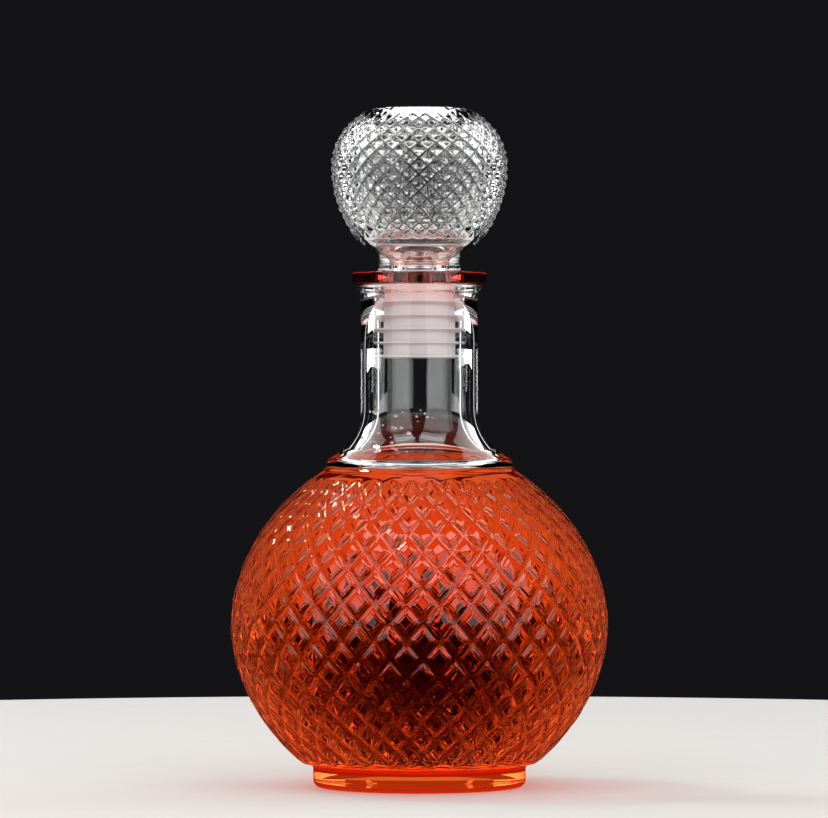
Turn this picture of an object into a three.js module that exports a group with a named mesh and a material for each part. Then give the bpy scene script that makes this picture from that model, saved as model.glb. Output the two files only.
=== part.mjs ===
// Round glass decanter with a diamond relief, filled with a drink and closed by a glass ball
// stopper on a ribbed plastic sleeve. Millimetres, +Z up, origin at the middle of the foot's underside.
import * as THREE from 'three';

const CLEARANCE = 0.3; // between pieces that touch on the real object
const PLAIN_SIDES = 36; // round the sleeve

// Straight stretches that a rounded outline is made of
const SMALL_EDGE_STEPS = 2;
const FILLET_STEPS = 3;
const FOOT_EDGE_STEPS = 4;
const FLARE_STEPS = 6;
const CAVITY_STEPS = 9;
const HOLLOW_STEPS = 13;

// Foot of the bottle
const FOOT_RADIUS = 39.4;
const FOOT_HEIGHT = 8.9;
const FOOT_EDGE_ROUND = 2.8; // lower outer edge
const FOOT_COVE = 2.2; // hollow fillet under the globe
const FOOT_LEDGE = 2.0; // underside of the globe, outside the cove
const FOOT_RECESS_RADIUS = 30;
const FOOT_RECESS_DEPTH = 1.6;

// Globe of the bottle: a slightly pointed ellipse turned about the axis
const GLOBE_RADIUS = 70;
const GLOBE_HALF_HEIGHT = 68;
const GLOBE_FULLNESS = 1.88; // 2 is a true ellipse, less is more pointed at the poles
const GLOBE_WALL = 5;
const FLOOR_RADIUS = 31;
const FLOOR_CORNER = 3.5;
const FLOOR_DOME = 0.8;

// Diamond relief on the globe: flat pads between V grooves
const GLOBE_COLUMNS = 36;
const GLOBE_ROWS = 18; // half rows, from one line of groove crossings to the next
const GLOBE_TURN = 6; // degrees
const GROOVE_DEPTH = 1.1;
const PAD_SHARE = 0.56; // of a diamond's width and height
const PLAIN_BELOW_PATTERN = 2.1;
const PLAIN_ABOVE_PATTERN = 5.4;

// Shoulder, neck and lip
const BORE_RADIUS = 17.3;
const NECK_WALL = 4.4;
const NECK_LENGTH = 43;
const FLARE_RADIUS = 20; // hollow curve from the neck to the shoulder
const FLARE_SLOPE = 58; // degrees from upright, at its lower end
const SHOULDER_RUN = 2.1;
const SHOULDER_ROUND = 3;
const SHOULDER_STEP = 1.5;
const INNER_FLARE_SLOPE = 50; // degrees from upright
const INNER_SHOULDER_RUN = 7;
const LIP_OVERHANG = 1.3;
const LIP_HEIGHT = 2.8;
const LIP_ROUND = 1.1;
const LIP_UNDERSIDE = -60; // degrees from outward, where the lip's rounding meets the neck

const DRINK_DEPTH_BELOW_FLARE = 21.7; // from the top of the flare down to the drink's surface

// Plastic sleeve of the stopper
const PLUG_LENGTH = 27.6;
const SLEEVE_WALL = 1.5;
const SLEEVE_FLOOR = 2.4;
const RIB_COUNT = 5;
const RIB_FIRST_DEPTH = 5.6; // below the flange
const RIB_ROOT = 1.5; // thickness where it leaves the plug
const RIB_TIP = 0.6;
const FLANGE_RADIUS = 25;
const FLANGE_THICKNESS = 4.6;
const FLANGE_ROUND = 0.6;

// Glass head of the stopper
const SPIGOT_RADIUS = 11.5;
const HEAD_BORE_RADIUS = 7.5;
const BASE_RING_RADIUS = 15.4;
const BASE_RING_HEIGHT = 2.6;
const BASE_RING_ROUND = 0.8;
const BASE_RING_UPPER_ARC = 60; // degrees
const STEM_RADIUS = 14.7;
const STEM_STRAIGHT = 1.4;
const STEM_FILLET = 4;
const STEM_SLOPE = 58; // degrees from upright, where the stem opens into the ball
const STEM_RUN = 7.1;
const BALL_RADIUS = 32.9;
const BALL_LOWER_ARC = 43.7;
const BALL_UPPER_ARC = 22.7;
const BALL_WALL = 4.2;
const BALL_TOP_RADIUS = 17.4;
const TOP_RECESS_RADIUS = 13.5;
const TOP_RECESS_DEPTH = 0.8;
const INNER_TOP_RADIUS = 13;

// Pointed diamonds on the ball
const BALL_COLUMNS = 30;
const BALL_ROWS = 17;
const BALL_TURN = 5.5; // degrees
const PYRAMID_HEIGHT = 1.1;
const PLAIN_ABOVE_BALL_PATTERN = 3.7;

// Heights and radii that follow from the sizes above
const neckRadius = BORE_RADIUS + NECK_WALL;
const flareEndRadius = neckRadius + FLARE_RADIUS * (1 - cosDeg(FLARE_SLOPE));
const shoulderRadius = flareEndRadius + SHOULDER_RUN + SHOULDER_ROUND * (1 - cosDeg(FLARE_SLOPE));
const ledgeRadius = FOOT_RADIUS + FOOT_COVE + FOOT_LEDGE;
const globeCentre = FOOT_HEIGHT + globeRise(ledgeRadius);
const shoulderFoot = globeCentre + globeRise(shoulderRadius);
const shoulderTop = shoulderFoot + SHOULDER_STEP;
const flareEndHeight = shoulderTop + SHOULDER_ROUND * sinDeg(FLARE_SLOPE)
  + SHOULDER_RUN / Math.tan(THREE.MathUtils.degToRad(FLARE_SLOPE));
const neckFoot = flareEndHeight + FLARE_RADIUS * sinDeg(FLARE_SLOPE);
const lipFoot = neckFoot + NECK_LENGTH;
const lipTop = lipFoot + LIP_HEIGHT;
const drinkLevel = neckFoot - DRINK_DEPTH_BELOW_FLARE;

const socketRadius = SPIGOT_RADIUS + CLEARANCE;
const plugRadius = socketRadius + SLEEVE_WALL;
const flangeFoot = lipTop + CLEARANCE;
const flangeTop = flangeFoot + FLANGE_THICKNESS;
const plugFoot = flangeFoot - PLUG_LENGTH;
const socketFoot = plugFoot + SLEEVE_FLOOR;
const spigotFoot = socketFoot + CLEARANCE;

const ringFoot = flangeTop + CLEARANCE;
const ringTop = ringFoot + BASE_RING_HEIGHT;
const filletTopRadius = STEM_RADIUS + STEM_FILLET * (1 - cosDeg(STEM_SLOPE));
const filletTop = ringTop + STEM_STRAIGHT + STEM_FILLET * sinDeg(STEM_SLOPE);
const ballFootRadius = filletTopRadius + STEM_RUN;
const ballFoot = filletTop + STEM_RUN / Math.tan(THREE.MathUtils.degToRad(STEM_SLOPE));
const ballMiddle = ballFoot + arcRise(BALL_RADIUS, BALL_LOWER_ARC, ballFootRadius);

function cosDeg(angle) {
  return Math.cos(THREE.MathUtils.degToRad(angle));
}

function sinDeg(angle) {
  return Math.sin(THREE.MathUtils.degToRad(angle));
}

// Height above the globe's middle at which its surface, less a wall, has the given radius
function globeRise(radius, wall = 0) {
  const share = radius / (GLOBE_RADIUS - wall);
  return (GLOBE_HALF_HEIGHT - wall) * (1 - share ** GLOBE_FULLNESS) ** (1 / GLOBE_FULLNESS);
}

// Height over which an arc that is upright at the widest radius comes in to a smaller radius
function arcRise(widest, arc, radius) {
  return Math.sqrt(arc ** 2 - (arc - widest + radius) ** 2);
}

// Points along an arc, in degrees from the outward direction, ends included
function arcPoints(centreRadius, centreHeight, radius, from, to, steps) {
  const points = [];
  for (let step = 0; step <= steps; step += 1) {
    const angle = from + (to - from) * step / steps;
    points.push([centreRadius + radius * cosDeg(angle), centreHeight + radius * sinDeg(angle)]);
  }
  return points;
}

// The globe's outline between two heights above its middle, with the radius worked out from the height
class GlobeOutline extends THREE.Curve {
  constructor(fromRise, toRise, wall = 0) {
    super();
    this.fromAngle = GlobeOutline.angleAt(fromRise, wall);
    this.toAngle = GlobeOutline.angleAt(toRise, wall);
    this.wall = wall;
  }

  static angleAt(rise, wall) {
    const share = Math.abs(rise) / (GLOBE_HALF_HEIGHT - wall);
    return Math.sign(rise) * Math.asin(share ** (GLOBE_FULLNESS / 2));
  }

  getPoint(t, target = new THREE.Vector3()) {
    const angle = this.fromAngle + (this.toAngle - this.fromAngle) * t;
    const power = 2 / GLOBE_FULLNESS;
    const radius = (GLOBE_RADIUS - this.wall) * Math.cos(angle) ** power;
    const rise = (GLOBE_HALF_HEIGHT - this.wall) * Math.sign(angle) * Math.abs(Math.sin(angle)) ** power;
    return target.set(radius, 0, globeCentre + rise);
  }
}

// The ball's outline: a long arc below the widest place and a short one above it
class BallOutline extends THREE.Curve {
  constructor(footRadius, topRadius, wall = 0) {
    super();
    this.lower = BALL_LOWER_ARC - wall;
    this.upper = BALL_UPPER_ARC - wall;
    this.widest = BALL_RADIUS - wall;
    this.lowerAngle = Math.acos(1 - (this.widest - footRadius) / this.lower);
    this.upperAngle = Math.acos(1 - (this.widest - topRadius) / this.upper);
    this.lowerShare = this.lower * this.lowerAngle
      / (this.lower * this.lowerAngle + this.upper * this.upperAngle);
  }

  getPoint(t, target = new THREE.Vector3()) {
    const below = t < this.lowerShare;
    const arc = below ? this.lower : this.upper;
    const angle = below
      ? -this.lowerAngle * (1 - t / this.lowerShare)
      : this.upperAngle * (t - this.lowerShare) / (1 - this.lowerShare);
    return target.set(this.widest - arc + arc * Math.cos(angle), 0, ballMiddle + arc * Math.sin(angle));
  }
}

// Outline points [radius, height] at even distances along a curve
function spacedPoints(curve, steps) {
  return curve.getSpacedPoints(steps).map((point) => [point.x, point.z]);
}

// A closed skin turned about the axis. Rings are added along the outline, which runs so that the
// outside goes upwards, and each ring is joined to the one before it.
class TurnedSkin {
  constructor(columns, turn) {
    this.columns = columns;
    this.turn = turn;
    this.phase = 0; // of a column, added to every new ring
    this.positions = [];
    this.faces = [];
    this.last = null;
  }

  vertex(radius, column, height) {
    const angle = this.turn + 360 * column / this.columns;
    this.positions.push(radius * cosDeg(angle), radius * sinDeg(angle), height);
    return this.positions.length / 3 - 1;
  }

  ringVertices(radius, height, phase) {
    const ring = [];
    for (let column = 0; column < this.columns; column += 1) {
      ring.push(this.vertex(radius, column + phase, height));
    }
    return ring;
  }

  // First point, on the axis
  start(height) {
    this.pole = this.vertex(0, 0, height);
  }

  addRing([radius, height]) {
    this.join(this.ringVertices(radius, height, this.phase));
  }

  // Joins a ring to the one before it, or to the pole
  join(ring) {
    for (let column = 0; column < this.columns; column += 1) {
      const next = (column + 1) % this.columns;
      if (this.last === null) {
        this.faces.push(this.pole, ring[next], ring[column]);
      } else {
        this.faces.push(this.last[column], this.last[next], ring[next]);
        this.faces.push(this.last[column], ring[next], ring[column]);
      }
    }
    this.last = ring;
  }

  addRings(points) {
    points.forEach((point) => this.addRing(point));
  }

  // Last point, on the axis
  finish(height) {
    const end = this.vertex(0, 0, height);
    for (let column = 0; column < this.columns; column += 1) {
      this.faces.push(this.last[column], this.last[(column + 1) % this.columns], end);
    }
  }

  // A band of diamonds along a curve. Grooves cross on each row, half a column further round than
  // on the row before it, and run out to the plain surface on the first row and the last. Between
  // four crossings stands a flat pad, or a point where the pad's share is nothing.
  addDiamonds(curve, rows, depth, padShare) {
    const surface = (row) => {
      const point = curve.getPointAt(THREE.MathUtils.clamp(row / rows, 0, 1));
      return [point.x, point.z];
    };
    const crossings = [];
    for (let row = 0; row <= rows; row += 1) {
      const [radius, height] = surface(row);
      const slope = curve.getTangentAt(row / rows);
      const sunk = row === 0 || row === rows ? 0 : depth;
      const phase = this.phase + (row % 2) / 2;
      crossings.push(this.ringVertices(radius - sunk * slope.z, height + sunk * slope.x, phase));
    }
    this.join(crossings[0]);
    this.addRunOut(crossings[0], crossings[1], 0);
    for (let row = 0; row + 2 <= rows; row += 1) {
      for (let column = 0; column < this.columns; column += 1) {
        this.addDiamond(crossings, surface, row, column, padShare);
      }
    }
    this.addRunOut(crossings[rows], crossings[rows - 1], rows);
    this.last = crossings[rows];
    this.phase += (rows % 2) / 2;
  }

  // Half diamonds along one edge of the band
  addRunOut(edge, inner, row) {
    for (let column = 0; column < this.columns; column += 1) {
      const next = (column + 1) % this.columns;
      if (row === 0) {
        this.faces.push(edge[column], edge[next], inner[column]);
      } else if (row % 2 === 0) {
        this.faces.push(edge[next], edge[column], inner[column]);
      } else {
        this.faces.push(edge[next], edge[column], inner[next]);
      }
    }
  }

  // The diamond whose lowest corner is the given crossing
  addDiamond(crossings, surface, row, column, padShare) {
    const shifted = row % 2;
    const next = (column + 1) % this.columns;
    const before = (column + this.columns - 1) % this.columns;
    const corners = [
      crossings[row][column],
      crossings[row + 1][shifted ? next : column],
      crossings[row + 2][column],
      crossings[row + 1][shifted ? column : before],
    ];
    const middle = column + this.phase + shifted / 2;
    if (padShare === 0) {
      const [radius, height] = surface(row + 1);
      const point = this.vertex(radius, middle, height);
      for (let side = 0; side < 4; side += 1) {
        this.faces.push(corners[side], corners[(side + 1) % 4], point);
      }
      return;
    }
    const pad = [[-1, 0], [0, 0.5], [1, 0], [0, -0.5]].map(([up, around]) => {
      const [radius, height] = surface(row + 1 + up * padShare);
      return this.vertex(radius, middle + around * padShare, height);
    });
    for (let side = 0; side < 4; side += 1) {
      const following = (side + 1) % 4;
      this.faces.push(corners[side], corners[following], pad[following]);
      this.faces.push(corners[side], pad[following], pad[side]);
    }
    this.faces.push(pad[0], pad[1], pad[2]);
    this.faces.push(pad[0], pad[2], pad[3]);
  }

  geometry() {
    const geometry = new THREE.BufferGeometry();
    geometry.setAttribute('position', new THREE.Float32BufferAttribute(this.positions, 3));
    geometry.setIndex(this.faces);
    geometry.computeVertexNormals();
    return geometry;
  }
}

// Outline of the hollow in the bottle, from the bore down to the edge of the floor
function hollowOutline() {
  const flareCentre = neckRadius + FLARE_RADIUS;
  const flare = arcPoints(
    flareCentre, neckFoot, FLARE_RADIUS + NECK_WALL, 180, 180 + INNER_FLARE_SLOPE, FLARE_STEPS,
  );
  const joinRadius = flare[flare.length - 1][0] + INNER_SHOULDER_RUN;
  const floorEdge = FLOOR_RADIUS + FLOOR_CORNER;
  const globe = new GlobeOutline(
    globeRise(joinRadius, GLOBE_WALL), -globeRise(floorEdge, GLOBE_WALL), GLOBE_WALL,
  );
  return [...flare, ...spacedPoints(globe, HOLLOW_STEPS), [FLOOR_RADIUS, floorHeight()]];
}

function floorHeight() {
  return globeCentre - globeRise(FLOOR_RADIUS, GLOBE_WALL);
}

function bottleFoot(skin) {
  skin.start(FOOT_RECESS_DEPTH);
  skin.addRing([FOOT_RECESS_RADIUS - FOOT_RECESS_DEPTH, FOOT_RECESS_DEPTH]);
  skin.addRing([FOOT_RECESS_RADIUS, 0]);
  const edgeCentre = FOOT_RADIUS - FOOT_EDGE_ROUND;
  const coveCentre = FOOT_RADIUS + FOOT_COVE;
  skin.addRings(arcPoints(edgeCentre, FOOT_EDGE_ROUND, FOOT_EDGE_ROUND, -90, 0, FOOT_EDGE_STEPS));
  skin.addRings(arcPoints(coveCentre, FOOT_HEIGHT - FOOT_COVE, FOOT_COVE, 180, 90, FILLET_STEPS));
  skin.addRing([ledgeRadius, FOOT_HEIGHT]);
}

function bottleGlobe(skin) {
  const bottom = -globeRise(ledgeRadius + PLAIN_BELOW_PATTERN);
  const top = globeRise(shoulderRadius + PLAIN_ABOVE_PATTERN);
  skin.addDiamonds(new GlobeOutline(bottom, top), GLOBE_ROWS, GROOVE_DEPTH, PAD_SHARE);
  const halfwayRadius = shoulderRadius + PLAIN_ABOVE_PATTERN / 2;
  skin.addRing([halfwayRadius, globeCentre + globeRise(halfwayRadius)]);
}

function bottleNeck(skin) {
  const shoulderCentre = shoulderRadius - SHOULDER_ROUND;
  const flareCentre = neckRadius + FLARE_RADIUS;
  const lipCentre = neckRadius + LIP_OVERHANG - LIP_ROUND;
  const mouthCentre = BORE_RADIUS + LIP_ROUND;
  const lipUpper = lipTop - LIP_ROUND;
  skin.addRing([shoulderRadius, shoulderFoot]);
  skin.addRings(arcPoints(shoulderCentre, shoulderTop, SHOULDER_ROUND, 0, FLARE_SLOPE, FILLET_STEPS));
  skin.addRings(arcPoints(flareCentre, neckFoot, FLARE_RADIUS, 180 + FLARE_SLOPE, 180, FLARE_STEPS));
  skin.addRing([neckRadius, lipFoot]);
  skin.addRings(arcPoints(lipCentre, lipFoot + LIP_ROUND, LIP_ROUND, LIP_UNDERSIDE, 0, SMALL_EDGE_STEPS));
  skin.addRings(arcPoints(lipCentre, lipUpper, LIP_ROUND, 0, 90, FILLET_STEPS));
  skin.addRings(arcPoints(mouthCentre, lipUpper, LIP_ROUND, 90, 180, FILLET_STEPS));
}

function bottleGeometry() {
  const skin = new TurnedSkin(GLOBE_COLUMNS, GLOBE_TURN);
  bottleFoot(skin);
  bottleGlobe(skin);
  bottleNeck(skin);
  skin.addRings(hollowOutline());
  skin.finish(floorHeight() + FLOOR_DOME);
  return skin.geometry();
}

// An outline moved to its right-hand side by a distance, square to each stretch
function insetOutline(points, distance) {
  const vectors = points.map(([radius, height]) => new THREE.Vector2(radius, height));
  return vectors.map((point, index) => {
    const before = vectors[Math.max(index - 1, 0)];
    const after = vectors[Math.min(index + 1, vectors.length - 1)];
    const sides = [[before, point], [point, after]]
      .filter(([from, to]) => from.distanceTo(to) > 0)
      .map(([from, to]) => to.clone().sub(from).normalize())
      .map((along) => new THREE.Vector2(along.y, -along.x));
    const normal = sides.reduce((sum, side) => sum.clone().add(side)).divideScalar(sides.length);
    const moved = point.clone().addScaledVector(normal, distance / normal.lengthSq());
    return [moved.x, moved.y];
  });
}

function drinkGeometry() {
  const wall = insetOutline(hollowOutline(), CLEARANCE).reverse();
  const above = wall.findIndex(([, height]) => height >= drinkLevel);
  const [lowRadius, lowHeight] = wall[above - 1];
  const [highRadius, highHeight] = wall[above];
  const share = (drinkLevel - lowHeight) / (highHeight - lowHeight);
  const skin = new TurnedSkin(GLOBE_COLUMNS, GLOBE_TURN);
  skin.start(floorHeight() + FLOOR_DOME + CLEARANCE);
  skin.addRings(wall.slice(0, above));
  skin.addRing([lowRadius + (highRadius - lowRadius) * share, drinkLevel]);
  skin.finish(drinkLevel);
  return skin.geometry();
}

// Outline of the sealing ribs, from the lowest up
function ribOutline() {
  const tipRadius = BORE_RADIUS - CLEARANCE;
  const lowest = plugFoot + RIB_ROOT / 2;
  const spacing = (flangeFoot - RIB_FIRST_DEPTH - lowest) / (RIB_COUNT - 1);
  const points = [];
  for (let rib = 0; rib < RIB_COUNT; rib += 1) {
    const height = lowest + rib * spacing;
    points.push([plugRadius, height - RIB_ROOT / 2], [tipRadius, height - RIB_TIP / 2]);
    points.push([tipRadius, height + RIB_TIP / 2], [plugRadius, height + RIB_ROOT / 2]);
  }
  return points;
}

function sleeveGeometry() {
  const rimCentre = FLANGE_RADIUS - FLANGE_ROUND;
  const skin = new TurnedSkin(PLAIN_SIDES, 0);
  skin.start(plugFoot);
  skin.addRings(ribOutline());
  skin.addRing([plugRadius, flangeFoot]);
  skin.addRings(arcPoints(rimCentre, flangeFoot + FLANGE_ROUND, FLANGE_ROUND, -90, 0, SMALL_EDGE_STEPS));
  skin.addRings(arcPoints(rimCentre, flangeTop - FLANGE_ROUND, FLANGE_ROUND, 0, 90, SMALL_EDGE_STEPS));
  skin.addRing([socketRadius, flangeTop]);
  skin.addRing([socketRadius, socketFoot]);
  skin.finish(socketFoot);
  return skin.geometry();
}

// Inside of the head, from the middle of its top down through the stem to the spigot's end
function headHollow(skin) {
  const cavity = new BallOutline(ballFootRadius - BALL_WALL, INNER_TOP_RADIUS, BALL_WALL);
  const outline = spacedPoints(cavity, CAVITY_STEPS).reverse();
  const throat = ballFoot - STEM_FILLET;
  skin.start(outline[0][1]);
  skin.addRings(outline);
  skin.addRing([HEAD_BORE_RADIUS + STEM_FILLET / 2, throat + STEM_FILLET / 4]);
  skin.addRing([HEAD_BORE_RADIUS, throat - STEM_FILLET]);
  skin.addRing([HEAD_BORE_RADIUS, spigotFoot]);
}

function headOutside(skin) {
  const edge = BASE_RING_ROUND;
  const edgeCentre = BASE_RING_RADIUS - edge;
  const filletCentre = STEM_RADIUS + STEM_FILLET;
  const filletFoot = ringTop + STEM_STRAIGHT;
  skin.addRing([SPIGOT_RADIUS, spigotFoot]);
  skin.addRing([SPIGOT_RADIUS, ringFoot]);
  skin.addRings(arcPoints(edgeCentre, ringFoot + edge, edge, -90, 0, SMALL_EDGE_STEPS));
  skin.addRings(arcPoints(edgeCentre, ringTop - edge, edge, 0, BASE_RING_UPPER_ARC, SMALL_EDGE_STEPS));
  skin.addRing([STEM_RADIUS, ringTop]);
  skin.addRings(arcPoints(filletCentre, filletFoot, STEM_FILLET, 180, 180 - STEM_SLOPE, FILLET_STEPS));
  skin.addRing([ballFootRadius - STEM_FILLET / 4, ballFoot - STEM_FILLET / 4]);
}

function headGeometry() {
  const patternTop = BALL_TOP_RADIUS + PLAIN_ABOVE_BALL_PATTERN;
  const outline = new BallOutline(ballFootRadius, patternTop);
  const top = ballMiddle + arcRise(BALL_RADIUS, BALL_UPPER_ARC, BALL_TOP_RADIUS);
  const skin = new TurnedSkin(BALL_COLUMNS, BALL_TURN);
  headHollow(skin);
  headOutside(skin);
  skin.addDiamonds(outline, BALL_ROWS, PYRAMID_HEIGHT, 0);
  skin.addRing([BALL_TOP_RADIUS, top]);
  skin.addRing([TOP_RECESS_RADIUS, top]);
  skin.addRing([TOP_RECESS_RADIUS - TOP_RECESS_DEPTH, top - TOP_RECESS_DEPTH]);
  skin.finish(top - TOP_RECESS_DEPTH);
  return skin.geometry();
}

function piece(name, geometry, colour, roughness, extra = {}) {
  const material = new THREE.MeshStandardMaterial({ color: colour, roughness, metalness: 0, ...extra });
  const mesh = new THREE.Mesh(geometry, material);
  mesh.name = name;
  return mesh;
}

function decanter() {
  const group = new THREE.Group();
  group.add(
    piece('bottle_glass', bottleGeometry(), 0xe9eeee, 0.04, { transparent: true, opacity: 0.35 }),
    piece('drink', drinkGeometry(), 0xd6421c, 0.05),
    piece('stopper_sleeve', sleeveGeometry(), 0xf0d4d2, 0.35),
    piece('stopper_head', headGeometry(), 0xeef2f2, 0.04, { transparent: true, opacity: 0.35 }),
  );
  return group;
}

export default decanter();
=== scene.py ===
"""Looks of a round glass decanter: diamond-relief bottle, orange-red drink and ball stopper."""

import math

import bpy
import numpy as np
from bpy.props import FloatProperty, FloatVectorProperty, IntProperty, PointerProperty
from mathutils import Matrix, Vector


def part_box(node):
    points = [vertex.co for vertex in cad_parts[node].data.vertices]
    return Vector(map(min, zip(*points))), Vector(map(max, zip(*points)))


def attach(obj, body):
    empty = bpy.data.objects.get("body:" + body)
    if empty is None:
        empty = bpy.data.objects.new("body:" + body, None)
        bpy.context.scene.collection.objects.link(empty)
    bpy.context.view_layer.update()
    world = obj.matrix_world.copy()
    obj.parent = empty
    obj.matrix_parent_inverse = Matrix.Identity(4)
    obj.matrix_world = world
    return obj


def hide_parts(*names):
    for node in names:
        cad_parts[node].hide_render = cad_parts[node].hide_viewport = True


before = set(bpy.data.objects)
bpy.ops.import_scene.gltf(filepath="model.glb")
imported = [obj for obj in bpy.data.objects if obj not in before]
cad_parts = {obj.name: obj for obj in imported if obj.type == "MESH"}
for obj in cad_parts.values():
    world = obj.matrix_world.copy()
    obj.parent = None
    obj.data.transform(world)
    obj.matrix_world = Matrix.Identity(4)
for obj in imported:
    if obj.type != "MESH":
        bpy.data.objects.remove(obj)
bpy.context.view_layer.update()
BOTTLE_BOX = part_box("bottle_glass")
DRINK_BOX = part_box("drink")
SLEEVE_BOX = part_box("stopper_sleeve")
HEAD_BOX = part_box("stopper_head")

bl_info = {
    "name": "Diamond decanter",
    "version": (1, 0, 0),
    "blender": (4, 5, 0),
    "location": "3D View > Sidebar > Decanter",
    "description": "Builds a glass decanter with a diamond relief, its drink, its stopper and a stage",
    "category": "Add Mesh",
}

MM = 0.001


# Properties that a user would change


def length(name, description, millimetres):
    """A length property with its default given in millimetres."""
    return FloatProperty(
        name=name, description=description, default=millimetres * MM, min=0.0, unit="LENGTH"
    )


def turn(name, description, degrees):
    """An angle property with its default given in degrees."""
    return FloatProperty(
        name=name, description=description, default=math.radians(degrees), subtype="ANGLE"
    )


def factor(name, description, default):
    """A plain number property."""
    return FloatProperty(name=name, description=description, default=default)


def count(name, description, default):
    """A whole number property."""
    return IntProperty(name=name, description=description, default=default, min=1)


def colour(name, description, default):
    """A linear colour property."""
    return FloatVectorProperty(
        name=name, description=description, default=default, subtype="COLOR", min=0.0, max=1.0
    )


class BottleSizes(bpy.types.PropertyGroup):
    foot_radius: length("Foot radius", "Outside of the foot", 39.4)
    foot_height: length("Foot height", "From the table to the globe's underside", 8.9)
    foot_round: length("Foot edge round", "Lower outer edge of the foot", 2.8)
    foot_cove: length("Foot cove", "Hollow fillet under the globe", 2.2)
    foot_ledge: length("Foot ledge", "Underside of the globe outside the cove", 2.0)
    recess_radius: length("Recess radius", "Hollow in the foot's underside", 30.0)
    recess_depth: length("Recess depth", "Depth of that hollow", 1.6)
    globe_half_height: length("Globe half height", "From the globe's middle to its pole", 68.0)
    globe_fullness: factor("Globe fullness", "2 is an ellipse, less is more pointed", 1.88)
    globe_wall: length("Globe wall", "Thickness of the glass in the globe", 5.0)
    floor_radius: length("Floor radius", "Flat part of the floor inside", 31.0)
    floor_corner: length("Floor corner", "From the flat floor to the wall", 3.5)
    floor_dome: length("Floor dome", "Rise of the floor in its middle", 0.8)
    bore_radius: length("Bore radius", "Inside of the neck", 17.3)
    neck_wall: length("Neck wall", "Thickness of the glass in the neck", 4.4)
    neck_length: length("Neck length", "From the flare to the lip", 43.0)
    flare_radius: length("Flare radius", "Hollow curve from neck to shoulder", 20.0)
    flare_slope: turn("Flare slope", "From upright, at the flare's lower end", 58.0)
    shoulder_run: length("Shoulder run", "Straight part below the flare", 2.1)
    shoulder_round: length("Shoulder round", "Rounding at the shoulder", 3.0)
    shoulder_step: length("Shoulder step", "Upright part of the shoulder", 1.5)
    inner_slope: turn("Inner flare slope", "From upright, inside the flare", 50.0)
    inner_run: length("Inner shoulder run", "From the inner flare to the globe", 7.0)
    lip_overhang: length("Lip overhang", "Of the lip beyond the neck", 1.3)
    lip_height: length("Lip height", "Height of the lip", 2.8)
    lip_round: length("Lip round", "Rounding of the lip", 1.1)
    columns: count("Diamonds round", "Diamonds round the globe", 36)
    rows: count("Half rows", "Rows of groove crossings from foot to shoulder", 18)
    turned: turn("Pattern turn", "Turn of the diamonds about the axis", 6.0)
    groove: length("Groove depth", "Depth of the V grooves", 1.1)
    bevel: factor("Bevel share", "Of a diamond's width, on each side of its pad", 0.19)
    dome: length("Pad dome", "Rise of a pad in its middle", 0.1)
    plain_below: length("Plain below", "From the ledge to the diamonds", 2.1)
    plain_above: length("Plain above", "From the diamonds to the shoulder", 5.4)


class StopperSizes(bpy.types.PropertyGroup):
    gap: length("Gap", "Between pieces that touch", 0.3)
    flange_thickness: length("Flange thickness", "Of the sleeve's flange", 4.6)
    flange_round: length("Flange round", "Edges of the flange", 0.6)
    spigot_radius: length("Spigot radius", "Glass inside the sleeve", 11.5)
    sleeve_wall: length("Sleeve wall", "Wall of the plug", 1.5)
    sleeve_floor: length("Sleeve floor", "Bottom of the plug", 2.4)
    rib_count: count("Ribs", "Sealing ribs on the plug", 5)
    rib_depth: length("First rib depth", "Below the flange", 5.6)
    rib_root: length("Rib root", "Thickness where it leaves the plug", 1.5)
    rib_tip: length("Rib tip", "Thickness at its edge", 0.6)
    bore_radius: length("Head bore", "Hole through the stem", 7.5)
    ring_radius: length("Base ring radius", "Ring that rests on the flange", 15.4)
    ring_height: length("Base ring height", "Height of that ring", 2.6)
    ring_round: length("Base ring round", "Edges of that ring", 0.8)
    stem_radius: length("Stem radius", "Waist under the ball", 14.7)
    stem_straight: length("Stem straight", "Upright part of the stem", 1.4)
    stem_fillet: length("Stem fillet", "Hollow curve up to the ball", 4.0)
    stem_slope: turn("Stem slope", "From upright, under the ball", 58.0)
    stem_run: length("Stem run", "Slope from the stem to the ball", 7.1)
    ball_radius: length("Ball radius", "Widest part of the ball", 32.9)
    lower_arc: length("Lower arc", "Curve of the ball below its widest part", 43.7)
    upper_arc: length("Upper arc", "Curve of the ball above it", 22.7)
    ball_wall: length("Ball wall", "Thickness of the glass in the ball", 4.2)
    top_radius: length("Top radius", "Flat top of the ball", 17.4)
    recess_radius: length("Top recess radius", "Shallow hollow in the top", 13.5)
    recess_depth: length("Top recess depth", "Depth of that hollow", 0.8)
    inner_top: length("Inner top radius", "Flat top of the hollow", 13.0)
    columns: count("Diamonds round", "Pointed diamonds round the ball", 30)
    rows: count("Half rows", "Rows of groove crossings on the ball", 17)
    turned: turn("Pattern turn", "Turn of the diamonds about the axis", 5.5)
    groove: length("Point height", "Height of the pointed diamonds", 1.1)
    plain_above: length("Plain above", "From the diamonds to the flat top", 3.7)


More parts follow.
